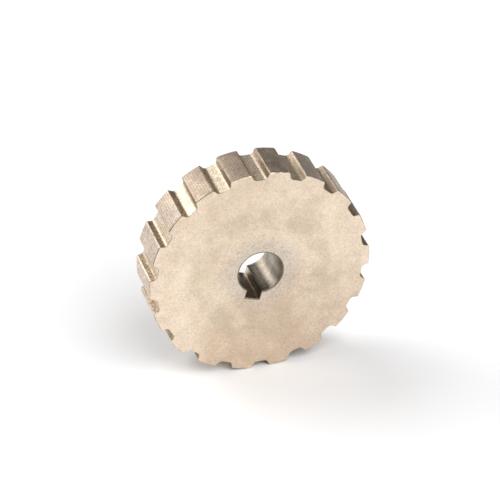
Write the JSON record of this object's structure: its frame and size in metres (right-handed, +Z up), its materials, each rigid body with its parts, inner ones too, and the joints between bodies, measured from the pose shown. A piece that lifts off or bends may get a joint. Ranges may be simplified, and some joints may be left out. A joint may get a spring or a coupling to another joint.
{
  "type": "timing belt pulley",
  "caption": "Flat one-piece toothed pulley for a half-inch pitch timing belt, with trapezoidal grooves, plain faces and a keyed through bore.",
  "frame": {"origin": "centre of the wheel: on the bore's axis, halfway between the two faces", "axes": "the wheel stands on its rim and spins about +Y; -Y out of the front face, +X to the right seen from the front, +Z up through a belt groove"},
  "size_m": [0.0714, 0.0158, 0.071],
  "materials": {
    "bare_steel": "bare, dull warm grey machined steel with a blotchy tarnish"
  },
  "bodies": {
    "root": {"pulley_wheel": "bare_steel"}
  },
  "joints": []
}
